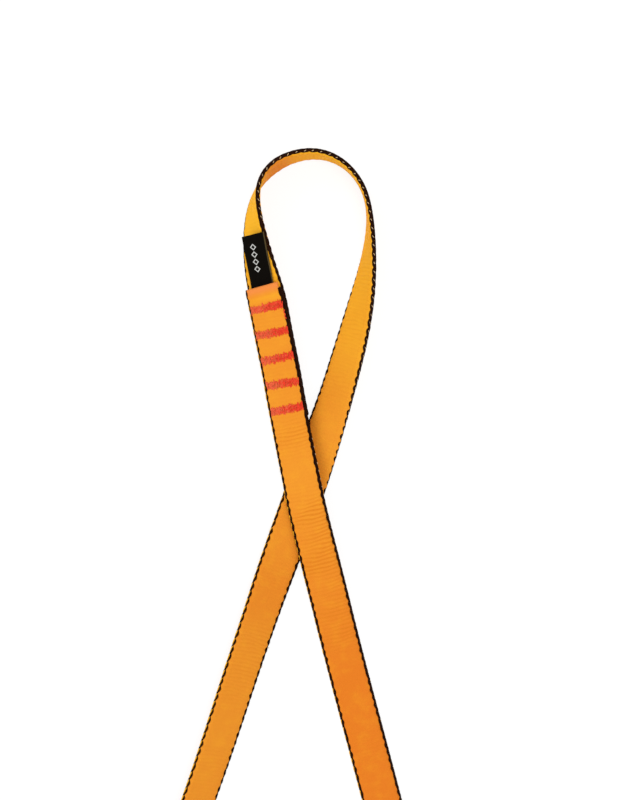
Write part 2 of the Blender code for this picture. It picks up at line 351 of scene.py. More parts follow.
# A small helper that adds nodes and joins them, so that each group below reads as its own formula.
# Spread goes smoothly from 0 at low to 1 at high and below is its reverse. Mask reads an attribute,
# tint mixes in an amount of a second colour, centred scales a noise and takes half of the scale off,
# and seen is 1 for what the camera and reflections see.
class NodeDesk:
    def __init__(self, tree):
        self.tree = tree

    def add(self, kind, **settings):
        node = self.tree.nodes.new(kind)
        for key, value in settings.items():
            setattr(node, key, value)
        return node

    def join(self, source, socket):
        self.tree.links.new(source, socket)

    def feed(self, socket, value):
        if isinstance(value, bpy.types.NodeSocket):
            self.join(value, socket)
        else:
            socket.default_value = value

    def math(self, operation, *values):
        node = self.add("ShaderNodeMath", operation=operation)
        for socket, value in zip(node.inputs, values):
            self.feed(socket, value)
        return node.outputs[0]

    def mix(self, share, first, second):
        node = self.add("ShaderNodeMix", data_type="RGBA")
        self.feed(node.inputs[0], share)
        for socket, value in zip(node.inputs[6:8], (first, second)):
            self.feed(socket, (*value, 1) if isinstance(value, tuple) else value)
        return node.outputs[2]

    def tint(self, colour, second, mask, amount):
        return self.mix(self.math("MULTIPLY", mask, amount), colour, second)

    def mask(self, key):
        return self.add("ShaderNodeAttribute", attribute_name=key).outputs["Fac"]

    def spread(self, value, low, high):
        node = self.add("ShaderNodeMapRange", interpolation_type="SMOOTHSTEP")
        for socket, item in zip(node.inputs, (value, low, high)):
            self.feed(socket, item)
        return node.outputs[0]

    def below(self, value, low, high):
        return self.math("SUBTRACT", 1.0, self.spread(value, low, high))

    def centred(self, value, scale):
        return self.math("MULTIPLY_ADD", value, scale, -scale / 2)

    def seen(self):
        rays = self.add("ShaderNodeLightPath").outputs
        reflected = self.math("MAXIMUM", rays["Is Glossy Ray"], rays["Is Transmission Ray"])
        return self.math("MAXIMUM", rays["Is Camera Ray"], reflected)

    def group(self, tree, **values):
        node = self.add("ShaderNodeGroup")
        node.node_tree = tree
        for key, value in values.items():
            self.feed(node.inputs[key], value)
        return node


# An empty shader group with named number inputs and outputs, and its desk
def newGroup(name, inputs, outputs):
    tree = bpy.data.node_groups.new(name, "ShaderNodeTree")
    for key, value in inputs.items():
        socket = tree.interface.new_socket(key, in_out="INPUT", socket_type="NodeSocketFloat")
        socket.default_value = value
    for key in outputs:
        tree.interface.new_socket(key, in_out="OUTPUT", socket_type="NodeSocketFloat")
    desk = NodeDesk(tree)
    return tree, desk, desk.add("NodeGroupInput").outputs, desk.add("NodeGroupOutput").inputs


relief = {
    "weaveRise": 0.6,  # share of a warp yarn's height that comes and goes with the picks
    "weaveCrease": (0.05, 0.6),  # heights between which the crease fades out
    "twistCrease": (0.0, 0.5),
}
noises = {  # the input with each one's scale, and its detail
    "Drift": ("Broad", 1.0),
    "Mottle": ("Middle", 3.0),
    "Grain": ("Fine", 1.0),
}


# Plain weave: each warp yarn is a rounded ridge one yarn wide, rising over every other pick, and its
# neighbour rises over the picks between. Height is ridge times rise; Crease is what lies low.
def makeWeaveGroup():
    given = {"Across": 0.0, "Along": 0.0, "Yarn": 0.75, "Pick": 1.0}
    tree, desk, given, out = newGroup("plainWeave", given, ("Height", "Crease"))
    yarn = desk.math("DIVIDE", given["Across"], given["Yarn"])
    odd = desk.math("MULTIPLY", desk.math("PINGPONG", desk.math("FLOOR", yarn), 1.0), 0.5)
    ridge = desk.math("SINE", desk.math("MULTIPLY", desk.math("FRACT", yarn), math.pi))
    pick = desk.math("ADD", desk.math("DIVIDE", given["Along"], given["Pick"]), odd)
    rise = desk.math("SINE", desk.math("MULTIPLY", desk.math("FRACT", pick), math.pi))
    share = relief["weaveRise"]
    height = desk.math("MULTIPLY", ridge, desk.math("MULTIPLY_ADD", rise, share, 1 - share))
    desk.join(height, out["Height"])
    desk.join(desk.below(height, *relief["weaveCrease"]), out["Crease"])
    return tree


# Twisted yarn: plies are sine ridges that wind round the yarn once in each lay
def makeTwistGroup():
    given = {"Around": 0.0, "Along": 0.0, "Plies": 3.0, "Lay": 2.0}
    tree, desk, given, out = newGroup("twistedYarn", given, ("Height", "Crease"))
    winding = desk.math("SUBTRACT", desk.math("MULTIPLY", given["Around"], given["Plies"]),
                        desk.math("DIVIDE", given["Along"], given["Lay"]))
    height = desk.math("SINE", desk.math("MULTIPLY", desk.math("FRACT", winding), math.pi))
    desk.join(height, out["Height"])
    desk.join(desk.below(height, *relief["twistCrease"]), out["Crease"])
    return tree


# Dye and fibre: a broad drift, a mottle a few millimetres wide and a grain as fine as fibres
def makeFibreGroup():
    given = {"Broad": 18.0, "Middle": 220.0, "Fine": 2600.0}
    tree, desk, given, out = newGroup("dyeAndFibre", given, noises)
    place = desk.add("ShaderNodeTexCoord").outputs["Object"]
    for key, (scale, detail) in noises.items():
        node = desk.add("ShaderNodeTexNoise")
        desk.join(place, node.inputs["Vector"])
        desk.join(given[scale], node.inputs["Scale"])
        node.inputs["Detail"].default_value = detail
        desk.join(node.outputs[0], out[key])
    return tree


weaveGroup, twistGroup, fibreGroup = makeWeaveGroup(), makeTwistGroup(), makeFibreGroup()


# A material with its desk and its shader
def newMaterial(name, specular):
    material = bpy.data.materials.new(name)
    material.use_nodes = True
    shader = material.node_tree.nodes["Principled BSDF"]
    shader.inputs["Specular IOR Level"].default_value = specular
    return material, NodeDesk(material.node_tree), shader


# The same for a cloth, with its flat map in millimetres
def newCloth(name, specular):
    material, desk, shader = newMaterial(name, specular)
    flat = desk.add("ShaderNodeSeparateXYZ")
    desk.join(desk.add("ShaderNodeUVMap", uv_map="flat").outputs[0], flat.inputs[0])
    return material, desk, shader, flat.outputs


# Bump from a height, into the shader's normal
def addBump(desk, shader, height, distance):
    bump = desk.add("ShaderNodeBump")
    bump.inputs["Distance"].default_value = distance
    bump.inputs["Strength"].default_value = 1.0
    desk.feed(bump.inputs["Height"], height)
    desk.join(bump.outputs[0], shader.inputs["Normal"])


webbingFinish = {
    "specular": 0.03,
    "yarn": 0.62,  # millimetres, one warp yarn
    "pick": 0.875,  # millimetres, one weft pick: half a rib
    "dotsFrom": 6.05,  # millimetres from the middle to the row of fine binding stitches
    "dotPitch": 1.0,
    "dotFade": (0.085, 0.255),  # millimetres from a stitch's middle over which it fades out
    "dotDepth": 0.5,  # in heights of the weave
    "grainHeight": 0.25,
    # The crease and rib shares below paint shade into the weave's creases and the lows between ribs.
    "paintedCreaseShade": 0.12,  # shares of its own colour that each of these mixes in
    "paintedRibShadeTint": 0.72,
    "dotTint": 0.35,
    "driftTint": 0.34,
    "driftBand": (0.35, 0.75),
    "mottleTint": 0.14,
    "mottleBand": (0.4, 0.8),
    "roughness": 0.58,
    "creaseRoughness": 0.15,  # added in the creases
    "meltedGloss": 0.12,  # taken off the roughness where it is melted
    "meltedShare": 0.7,  # of the weave's height, gone where it is melted
    "meltedMottle": 0.3,
    "meltedBand": (0.1, 0.9),
    "bump": 0.000035,
}


# Orange face: its colour runs from deeper to yellower along the tape, partly a dye drift and partly painted
# light and shade. Painted shade reddens the weave creases and darkens the lows between ribs, fine stitches
# dot its sides, and the cut ends are melted to a smooth pink skin.
def makeWebbingMaterial():
    size = webbingFinish
    material, desk, shader, (across, along, _) = newCloth("orangeWebbing", size["specular"])
    weave = desk.group(weaveGroup, Across=across, Along=along, Yarn=size["yarn"], Pick=size["pick"]).outputs
    fibre = desk.group(fibreGroup).outputs
    seal, dyeAndPaintedLight, ribs = (desk.mask(key) for key in ("seal", "dyeAndPaintedLight", "ribs"))

    aside = desk.math("SUBTRACT", desk.math("ABSOLUTE", across), size["dotsFrom"])
    step = desk.math("SUBTRACT", desk.math("FRACT", desk.math("DIVIDE", along, size["dotPitch"])), 0.5)
    squares = [desk.math("MULTIPLY", part, part) for part in (aside, step)]
    apart = desk.math("SQRT", desk.math("ADD", *squares))
    dot = desk.below(apart, *size["dotFade"])

    # Colour along the tape: partly a dye drift and partly painted light and shade, yellower where the tape is
    # lit and deeper where it lies in shade.
    colour = desk.mix(desk.spread(dyeAndPaintedLight, 0.0, 0.5), palette["deepOrange"], palette["orange"])
    colour = desk.mix(desk.spread(dyeAndPaintedLight, 0.5, 1.0), colour, palette["yellowOrange"])
    # Painted shade: the weave creases take deeper orange and the lows between ribs take a darker rib colour.
    # The drift, the mottle and the stitch dots are the tape's own colour.
    tints = (
        ("deepOrange", desk.spread(fibre["Drift"], *size["driftBand"]), "driftTint"),
        ("yellowOrange", desk.spread(fibre["Mottle"], *size["mottleBand"]), "mottleTint"),
        ("deepOrange", weave["Crease"], "paintedCreaseShade"),
        ("paintedRibShade", ribs, "paintedRibShadeTint"),
        ("deepOrange", dot, "dotTint"),
    )
    for second, mask, amount in tints:
        colour = desk.tint(colour, palette[second], mask, size[amount])

    melted = desk.math("ADD", seal, desk.centred(fibre["Mottle"], size["meltedMottle"]))
    melted = desk.spread(melted, *size["meltedBand"])
    desk.join(desk.mix(melted, colour, palette["sealedEnd"]), shader.inputs["Base Color"])
    rough = desk.math("MULTIPLY_ADD", weave["Crease"], size["creaseRoughness"], size["roughness"])
    rough = desk.math("SUBTRACT", rough, desk.math("MULTIPLY", melted, size["meltedGloss"]))
    desk.join(rough, shader.inputs["Roughness"])
    height = desk.math("ADD", weave["Height"], desk.math("MULTIPLY", fibre["Grain"], size["grainHeight"]))
    height = desk.math("SUBTRACT", height, desk.math("MULTIPLY", dot, size["dotDepth"]))
    left = desk.math("SUBTRACT", 1.0, desk.math("MULTIPLY", melted, size["meltedShare"]))
    addBump(desk, shader, desk.math("MULTIPLY", height, left), size["bump"])
    return material


yarnFinishes = {
    "blackEdgeYarn": {"colours": ("blackYarn", "brownBlack"), "plies": 3.0, "lay": 1.9, "specular": 0.03},
    "redThread": {"colours": ("red", "salmon"), "plies": 2.0, "lay": 1.1, "specular": 0.06, "mask": "fade"},
    # The cream weft's colour is a painted highlight on real catch thread: it stands in for the thread's
    # glints.
    "weftWithPaintedGlint": {"colours": ("creamGlint", "yellowOrange"), "plies": 2.0, "lay": 0.9, "specular": 0.06},
    "orangeWeft": {"colours": ("yellowOrange", "orange"), "plies": 2.0, "lay": 0.9, "specular": 0.06},
}
yarnMake = {
    "fine": 900.0,  # scale of its fibres' grain
    "mottleTint": 0.35,
    "mottleBand": (0.45, 0.8),
    "fadeMottle": 0.6,  # how far its mottle and its grain break up the fade
    "fadeGrain": 1.6,
    "fadeBand": (0.2, 0.9),
    # Painted shade in the creases between plies: they take a darker copy of the yarn's colour.
    "paintedCreaseShade": 0.45,
    "paintedCreaseShare": 0.35,  # the creases' colour, as a share of the yarn's own
    "roughness": 0.55,
    "creaseRoughness": 0.2,
    "grainHeight": 0.3,
    "bump": 0.00006,
}


# Yarn and thread: plies wind round it, painted shade darkens its creases, and a mottle takes the second
# colour, so that no length of it is one flat colour. A mask fades it further to the second colour.
def makeYarnMaterial(name, size):
    make = yarnMake
    material, desk, shader, (around, along, _) = newCloth(name, size["specular"])
    twist = desk.group(twistGroup, Around=around, Along=along, Plies=size["plies"], Lay=size["lay"]).outputs
    fibre = desk.group(fibreGroup, Fine=make["fine"]).outputs
    colour, second = (palette[key] for key in size["colours"])
    # Painted shade: a darker copy of the yarn's colour for its creases.
    paintedCreaseColour = tuple(part * make["paintedCreaseShare"] for part in colour)
    if "mask" in size:
        share = desk.math("ADD", desk.mask(size["mask"]), desk.centred(fibre["Mottle"], make["fadeMottle"]))
        share = desk.math("ADD", share, desk.centred(fibre["Grain"], make["fadeGrain"]))
        colour = desk.mix(desk.spread(share, *make["fadeBand"]), colour, second)
    mottle = desk.spread(fibre["Mottle"], *make["mottleBand"])
    colour = desk.tint(colour, second, mottle, make["mottleTint"])
    colour = desk.tint(colour, paintedCreaseColour, twist["Crease"], make["paintedCreaseShade"])
    desk.join(colour, shader.inputs["Base Color"])
    rough = desk.math("MULTIPLY_ADD", twist["Crease"], make["creaseRoughness"], make["roughness"])
    desk.join(rough, shader.inputs["Roughness"])
    height = desk.math("ADD", twist["Height"], desk.math("MULTIPLY", fibre["Grain"], make["grainHeight"]))
    addBump(desk, shader, height, make["bump"])
    return material


labelFinish = {
    "specular": 0.02,
    "yarn": 0.22,
    "pick": 0.30,
    "motifCount": 4.0,
    "motifFrom": 5.4,  # millimetres from the root line to the first motif's middle
    "motifPitch": 3.4,
    "motifSize": 1.50,  # half of a diamond's width
    "motifStroke": 0.26,  # half of the width of its woven outline
    "motifFade": (0.182, 0.364),  # millimetres from the outline's middle over which it fades out
    "motifAside": -0.7,  # millimetres to the left of the ribbon's middle
    "motifHeight": 0.8,  # in heights of the weave
    "edgeFrom": 5.05,  # millimetres from the middle to the paler olive edge on the right, partly the label's edge yarn and partly painted shade standing in for the shaded tape beside it
    "edgeBlend": 0.35,
    "edgePaintedShadeTint": 0.7,
    "mottleTint": 0.5,
    # Painted shade in the weave's creases
    "paintedCreaseShade": 0.35,
    "roughness": 0.5,
    "creaseRoughness": 0.2,
    "bump": 0.00004,
}


# Label ribbon: fine black weave with painted shade in its creases, a paler olive edge on the right that is
# partly its edge yarn and partly painted shade standing in for the shaded tape beside it, and a row of equal
# open diamonds on its upper ply. A diamond's outline is where the distances along and across its middle add
# up to its half width.
def makeLabelMaterial():
    size = labelFinish
    material, desk, shader, (across, along, _) = newCloth("labelRibbon", size["specular"])
    weave = desk.group(weaveGroup, Across=across, Along=along, Yarn=size["yarn"], Pick=size["pick"]).outputs
    fibre = desk.group(fibreGroup).outputs

    pitch, half = size["motifPitch"], size["motifSize"] - size["motifStroke"]
    place = desk.math("DIVIDE", desk.math("SUBTRACT", along, size["motifFrom"] - pitch / 2), pitch)
    begun, ended = desk.math("GREATER_THAN", place, 0.0), desk.math("LESS_THAN", place, size["motifCount"])
    step = desk.math("MULTIPLY", desk.math("SUBTRACT", desk.math("FRACT", place), 0.5), pitch)
    aside = desk.math("ABSOLUTE", desk.math("SUBTRACT", across, size["motifAside"]))
    reach = desk.math("ADD", desk.math("ABSOLUTE", step), aside)
    motif = desk.below(desk.math("ABSOLUTE", desk.math("SUBTRACT", reach, half)), *size["motifFade"])
    motif = desk.math("MULTIPLY", motif, desk.math("MULTIPLY", begun, ended))

    # The paler olive edge is partly the label's edge yarn and partly painted shade of the tape beside the
    # label.
    edge = desk.spread(across, size["edgeFrom"], size["edgeFrom"] + size["edgeBlend"])
    colour = desk.tint(palette["labelBlack"], palette["labelBrown"], fibre["Mottle"], size["mottleTint"])
    colour = desk.tint(colour, palette["labelEdgeAndPaintedShade"], edge, size["edgePaintedShadeTint"])
    colour = desk.mix(motif, colour, palette["labelGrey"])
    # Painted shade in the weave's creases
    colour = desk.tint(colour, palette["labelBlack"], weave["Crease"], size["paintedCreaseShade"])
    desk.join(colour, shader.inputs["Base Color"])
    rough = desk.math("MULTIPLY_ADD", weave["Crease"], size["creaseRoughness"], size["roughness"])
    desk.join(rough, shader.inputs["Roughness"])
    height = desk.math("ADD", weave["Height"], desk.math("MULTIPLY", motif, size["motifHeight"]))
    addBump(desk, shader, height, size["bump"])
    return material


webbingMaterial = makeWebbingMaterial()
yarnMaterials = {name: makeYarnMaterial(name, size) for name, size in yarnFinishes.items()}
labelMaterial = makeLabelMaterial()
print("materials made:", len(bpy.data.materials))


# Webbing

lap = {
    "tackCount": 5,
    "tackFirst": 0.0100,
    "tackPitch": 0.0117,
    "tackLength": 0.0155,
    "tackWidth": 0.0042,
    "length": 0.0605,
    "searchShare": 1.6,  # how far back the lower layer is searched, in lengths of the lap
}
tackAt = lap["tackFirst"] + lap["tackPitch"] * np.arange(lap["tackCount"])
lateStations = np.flatnonzero(laid["distance"] > tapeLength - lap["searchShare"] * lap["length"])
lateLine, tackPoints = laid["centre"][lateStations, :2], onTape(tackAt, 0.0, 0.0)[:, :2]
nearest = np.linalg.norm(lateLine[None] - tackPoints[:, None], axis=2).argmin(axis=1)
tackUnder = laid["distance"][lateStations[nearest]]  # the same tacks, measured along the lower layer

webbing = {
    "step": 0.000405,
    "columns": 11,
    "edgeColumns": 4,
    "halfWidth": 0.0080,
    "edgeRound": 0.0006,
    "sideShare": 0.9,  # of the half width, past which points move with the scallops
    "frontReach": (  # how much further the front face reaches on the right
        (0.942, -0.00008), (0.956, 0.00066), (0.99, 0.00066), (1.01, 0.00024),
    ),
    "backReach": (
        (0.0, 0.0007), (0.0020, 0.0006), (0.0032, 0.0), (1.180, 0.0), (1.188, 0.00045), (1.200, 0.00045),
        (1.204, 0.0),
    ),
    "scallopPitch": 0.0037,
    "scallopDepth": 0.00024,
    "raggedPitch": 0.0052,
    "raggedShare": 0.7,
    "raggedSeed": 9,
    "tackDip": 0.00016,
    "dipWidth": 0.55,  # in widths of a tack
    "dipFull": 1.4,  # past 1, so that the dip is full over most of a tack's length
    "sealLength": 0.0011,  # of the melted skin
    "sealTint": 0.0034,  # how far its heat has changed the dye
    "sealDraw": 0.12,  # share by which the melted end is thinner
    "endRound": 0.45,  # length of the rounded end, in halves of the thickness
    "endLeast": 0.02,
    # Colour stops along the tape: partly a dye drift and partly painted light and shade. They are deeper
    # towards the lower end of the front leg and on the small loop's shaded inner face at 1.14, and yellower
    # up the right leg to the lit top of the loop.
    "dyeAndPaintedLight": (  # from deep orange at 0, past plain orange, to yellow orange at 1
        (0.0, 0.55), (0.0035, 0.55), (0.0055, 0.72), (0.0085, 0.55), (0.07, 0.55), (0.10, 0.44), (0.13, 0.32),
        (0.16, 0.20), (0.18, 0.08), (0.30, 0.08), (0.60, 0.30), (0.86, 0.42), (0.884, 0.40), (0.897, 0.27),
        (0.908, 0.27), (0.920, 0.40), (0.96, 0.45), (1.00, 0.62), (1.03, 0.75), (1.07, 0.85), (1.11, 1.0),
        (1.13, 0.97), (1.14, 0.42), (1.155, 0.88), (1.17, 0.92), (1.26, 0.88),
    ),
}
ribs = {
    "pitch": 0.00175,
    "height": 0.00012,
    "bow": 9.0,  # how much a rib runs ahead towards the sides, per metre of width squared
    "wander": 1.1,  # how far, in radians, the ribs drift ahead and back
    "wanderDrift": (0.013, 3),  # wavelength and seed
    "wanderSlant": 0.8,
    "plain": 0.14,  # share of the height that ribs have everywhere
    "plainChange": 0.12,
    "plainDrift": (0.047, 5),
    "zones": (  # middle, reach and share of the stretches where ribs show most
        (0.070, 0.005, 0.6), (0.104, 0.006, 0.9), (0.119, 0.015, 1.0), (0.136, 0.038, 0.9),
        (0.875, 0.014, 0.35),
    ),
    "zoneShare": 0.7,
    "zoneMiddle": 0.55,  # in a zone, the share in the tape's middle
    "zoneRight": 0.35,  # and what is added towards its right side
    "zoneChange": 0.35,
    "zoneDrift": (0.019, 6),
    "zoneSlant": 0.3,
    "least": 0.04,
}


# How far a side stands out: a cosine along the tape with a ragged drift on top
def scallops(s):
    size = webbing
    ragged = drift(s, size["raggedPitch"], size["raggedSeed"])
    return np.cos(2 * np.pi * s / size["scallopPitch"]) + size["raggedShare"] * ragged


# Ribs across the tape: a cosine along it that bows and wanders, times the share that shows there.
# That share is a plain one with a slow drift, and more in the zones, most of all towards the right.
def ribWaves(s, u, flatHalf):
    size = ribs
    wander = size["wander"] * drift(s + size["wanderSlant"] * u, *size["wanderDrift"])
    waves = np.cos(2 * np.pi * (s + size["bow"] * u ** 2) / size["pitch"] + wander)
    zones = sum(share * np.exp(-((s - middle) / reach) ** 4) for middle, reach, share in size["zones"])
    patches = (size["zoneMiddle"] + size["zoneRight"] * u / flatHalf
               + size["zoneChange"] * drift(s + size["zoneSlant"] * u, *size["zoneDrift"]))
    shown = size["plain"] + size["plainChange"] * drift(s, *size["plainDrift"])
    return waves * np.clip(shown + size["zoneShare"] * zones * patches, size["least"], 1)


# Orange ground weave: a flat closed section of two faces and two round sides, carried along the tape.
# Ribs lift its faces, its sides are scalloped, it dips at each bar tack and narrows at its melted ends.
def makeWebbing():
    size = webbing
    half = tape["thickness"] / 2
    flatHalf = size["halfWidth"] - size["edgeRound"]
    u, v = stripSection(flatHalf, size["edgeRound"], half, size)
    level = np.repeat([1, 0, -1, 0], [size["columns"], size["edgeColumns"]] * 2)  # 1 and -1 on the faces
    s = np.linspace(0, tapeLength, round(tapeLength / size["step"]) + 1)[:, None]

    waves = ribWaves(s, u, flatHalf)
    dipReach = size["dipWidth"] * lap["tackWidth"]
    dips = sum(np.exp(-((s - at) / dipReach) ** 2) for at in (*tackAt, *tackUnder))
    dips = dips * np.clip(size["dipFull"] - (np.abs(u) / (lap["tackLength"] / 2)) ** 4, 0, 1)
    end = np.minimum(s, tapeLength - s)
    seal = np.exp(-(end / size["sealLength"]) ** 3)
    rounding = 1 - (1 - np.minimum(end / (size["endRound"] * half), 1)) ** 2
    thin = np.sqrt(np.clip(rounding, size["endLeast"], 1))
    atSide = np.abs(u) > size["sideShare"] * flatHalf
    wide = u + np.sign(u) * atSide * (scallops(s) * size["scallopDepth"]) * (1 - seal)
    for facing, reach in ((1, "frontReach"), (-1, "backReach")):
        wide = wide + atSide * (u > 0) * (v * facing > 0) * atStops(s, size[reach])
    high = v + level * (ribs["height"] * waves * (1 - seal) - size["tackDip"] * dips)
    high = high * (1 - size["sealDraw"] * seal) * thin
    points = onTape(s, wide, high)
    # The colour stops carry painted light and shade as well as a dye drift, and the rib mask carries painted
    # shade in the lows between ribs.
    masks = {"seal": np.exp(-(end / size["sealTint"]) ** 2), "dyeAndPaintedLight": atStops(s, size["dyeAndPaintedLight"]),
             "ribs": np.clip(-waves, 0, 1) * (1 - seal)}
    masks = {key: np.broadcast_to(values, points.shape[:2]) for key, values in masks.items()}
    return putStrip("webbingTape", points, u * 1000, s * 1000, size, webbingMaterial, masks)


webbingPiece = makeWebbing()
print("webbing woven:", len(webbingPiece.data.polygons), "faces")


# Edge cords

edgeCords = {
    "right": {
        "name": "edgeCordRight",
        "node": "edge_yarn_right",
        "toward": 1,
        "from": 0.0024,  # past the melted end
        "middle": 0.00832,
        "swayOut": 0.00013,
        "swayUp": 0.00044,
        "radius": 0.00050,
        "woundOut": ((0.0, 0.0),),
        "sideMiddle": 0.00805,
        "sideHeight": -0.00082,
        "sideRadius": 0.00038,
        "sideOut": (
            (0.055, -0.00026), (0.095, -0.00010), (0.104, 0.00022), (0.130, 0.00015), (0.145, 0.0),
            (1.180, 0.0), (1.188, 0.00045), (1.200, 0.00045), (1.204, -0.00026),
        ),
    },
    "left": {
        "name": "edgeCordLeft",
        "node": "edge_yarn_left",
        "toward": -1,
        "from": 0.0,
        "middle": 0.00810,
        "swayOut": 0.00018,
        "swayUp": 0.00037,
        "radius": 0.00049,
        "woundOut": (
            (0.060, 0.0), (0.070, 0.00013), (0.200, 0.00013), (0.250, 0.0), (0.895, 0.0), (0.905, 0.00014),
            (0.955, 0.00014), (0.970, 0.00026), (1.045, 0.00026), (1.060, 0.0),
        ),
        "sideMiddle": 0.00792,
        "sideHeight": -0.00070,
        "sideRadius": 0.00036,
        "sideOut": ((0.0, 0.0),),
    },
}
cordMake = {
    "step": 0.0005,
    "sides": 12,
    "plies": 3,
    "sidePlies": 2,
    "plyDepth": 0.07,
    "plyLay": 0.0021,
    "blunt": 0.0009,
    "sideWander": 0.00013,  # how far the straight yarn wavers with the scallops
    "swayShare": (  # less round the small loop's top
        (1.06, 1.0), (1.115, 0.55), (1.150, 0.55), (1.175, 1.0),
    ),
}


# Black yarns along one side of the tape. Two strands wind round each other, each turning once in two
# scallops and swaying a little out and in and further up and down, and a thinner yarn lies straight
# beside them on the tape's back. Both lie a little further out or in from place to place.
def makeEdgeCord(size):
    make = cordMake
    s = np.linspace(size["from"], tapeLength, round(tapeLength / make["step"]) + 1)
    turn = np.pi * s / webbing["scallopPitch"] + np.array([0, np.pi])[:, None]
    u = size["toward"] * (size["middle"] + atStops(s, size["woundOut"]) + size["swayOut"] * np.cos(turn))
    v = size["swayUp"] * np.sin(turn) * atStops(s, make["swayShare"])
    wound = flatTubes(together(s, u, v), size["radius"], make["sides"], make["plies"], make["plyDepth"],
                      make["plyLay"], make["blunt"])
    aside = size["sideMiddle"] + atStops(s, size["sideOut"]) + make["sideWander"] * scallops(s)
    line = together(s, size["toward"] * aside, size["sideHeight"])
    beside = flatTubes(line[None], size["sideRadius"], make["sides"], make["sidePlies"], make["plyDepth"],
                       make["plyLay"], make["blunt"])
    return putTubes(size["name"], wound, beside, material=yarnMaterials["blackEdgeYarn"])


edgeCordPieces = {key: makeEdgeCord(size) for key, size in edgeCords.items()}
print("edge cords wound:", len(edgeCordPieces))

weftSpecks = {
    "toward": 1,
    "seed": 21,
    "shown": ((0.072, 1.169),),
    "length": 0.0010,
    "radius": 0.00015,
    "reach": 0.00884,
    "bow": 0.00016,
    "slant": 0.00034,
    "points": 6,
    "sides": 6,
}
weftLoops = {
    "toward": -1,
    "seed": 22,
    "shown": ((0.006, 0.962), (1.048, 1.256)),
    "length": 0.0037,
    "radius": 0.00029,
    "reach": 0.00868,
    "bow": 0.00022,
    "slant": 0.00016,
    "points": 9,
    "sides": 6,
}
weftMake = {
    "uneven": (0.00010, 0.00003, 0.2),  # seeded spread of the bits along, out of and over the edge
    "blunt": 0.25,  # share of a bit's length over which it narrows at each end
}


# Short bits of weft that show on the outside of an edge, one in each groove between the strands. Each
# is an arch along the edge that bows outwards in its middle and slants from one face to the other.
def makeWeftBits(name, size, material):
    random = np.random.default_rng(size["seed"])
    pitch = webbing["scallopPitch"]
    at = np.arange(0.5, tapeLength / pitch - 0.5) * pitch
    at = at[np.any([(at > first) & (at < last) for first, last in size["shown"]], axis=0)]
    t = np.linspace(-1, 1, size["points"])
    along, out, slant = random.normal(0, 1, (3, len(at), 1)) * np.reshape(weftMake["uneven"], (3, 1, 1))
    s = at[:, None] + t * size["length"] / 2 + along
    u = size["toward"] * (size["reach"] - size["bow"] * t ** 2 + out)
    v = size["slant"] * t * (1 + slant)
    blunt = weftMake["blunt"] * size["length"]
    tubes = flatTubes(together(s, u, v), size["radius"], size["sides"], blunt=blunt)
    return putTubes(name, tubes, material=material)


# Bits of catch thread on the right edge. Their cream colour is a painted highlight.
paintedGlintSpecks = makeWeftBits("weftSpecksPaintedGlint", weftSpecks, yarnMaterials["weftWithPaintedGlint"])
outerLoops = makeWeftBits("orangeWeftLoops", weftLoops, yarnMaterials["orangeWeft"])
print("weft laid along the edges")


# Bar tacks

thread = {
    "stitches": 14,  # there and back across one tack, in each of two passes
    "stitchPoints": 7,
    "radius": 0.00020,
    "sides": 6,
    "plies": 2,
    "plyDepth": 0.14,
    "plyLay": 0.0011,
    "bury": 0.00045,  # how deep a stitch's ends go into the tape
    "crown": 0.00008,
    "archPower": 0.6,  # below 1, so that a stitch rises steeply from its needle hole
    "passRise": 0.00014,
    "inset": 0.02,  # how much shorter the second pass is
    "uneven": (0.00036, 0.00014, 0.00005),  # seeded spread of the needle holes along, across and out
}
looseEnd = {
    "from": 0.0122,
    "length": 0.0046,
    "across": 0.0077,
    "wander": 0.00022,
    "waves": 2.5,
    "points": 24,
    "height": 0.00138,
}


# The thread's loose end: a line that runs down the edge from the first tack and wavers across it
def looseThread():
    size = looseEnd
    t = np.linspace(0, 1, size["points"])
    across = size["across"] + size["wander"] * np.sin(2 * np.pi * size["waves"] * t)
    path = together(size["from"] + size["length"] * t, across, -size["height"])
    return flatTubes(path[None], thread["radius"], thread["sides"], blunt=thread["radius"])


# Zigzag stitching on one face: each stitch runs from one side of the tack to the other and a little
# along it, arching out of the tape between two needle holes. A second pass lies over the first.
def makeTacks(name, places, outward, seed):
    random = np.random.default_rng(seed)
    holes = 2 * thread["stitches"] + 1
    passes = np.arange(2)[:, None]
    spread = np.reshape(thread["uneven"], (3, 1, 1, 1))
    along, across, out = random.normal(0, 1, (3, len(places), 2, holes)) * spread
    hole = np.arange(holes)
    side = np.where(hole % 2, 0.5, -0.5)
    s = np.asarray(places)[:, None, None] + side * lap["tackWidth"] * (1 - 2 * passes) + along
    u = (hole / (holes - 1) - 0.5) * lap["tackLength"] * (1 - thread["inset"] * passes) + across
    whole = np.arange(holes - 1)[:, None] + np.arange(thread["stitchPoints"]) / thread["stitchPoints"]
    low = whole.ravel().astype(int)
    part = whole.ravel() - low
    s, u = (values[..., low] * (1 - part) + values[..., low + 1] * part for values in (s, u))
    arch = np.sin(np.pi * part) ** thread["archPower"]
    top = tape["thickness"] / 2 - webbing["tackDip"] + thread["radius"] + thread["passRise"] * passes
    v = outward * (top - thread["bury"] * (1 - arch) + thread["crown"] * arch + out[..., low])
    paths = together(s, u, v).reshape(-1, len(low), 3)
    tubes = [flatTubes(paths, thread["radius"], thread["sides"], thread["plies"], thread["plyDepth"],
                       thread["plyLay"])]
    if outward < 0:
        tubes.append(looseThread())
    return putTubes(name, *tubes, material=yarnMaterials["redThread"],
                    mask=lambda points: 0.5 - points[:, 1] / lap["tackLength"])


needleThread = makeTacks("needleThread", tackAt, -1, 31)
bobbinThread = makeTacks("bobbinThread", tackUnder, 1, 32)
print("bar tacks sewn:", 2 * lap["tackCount"])


# Label

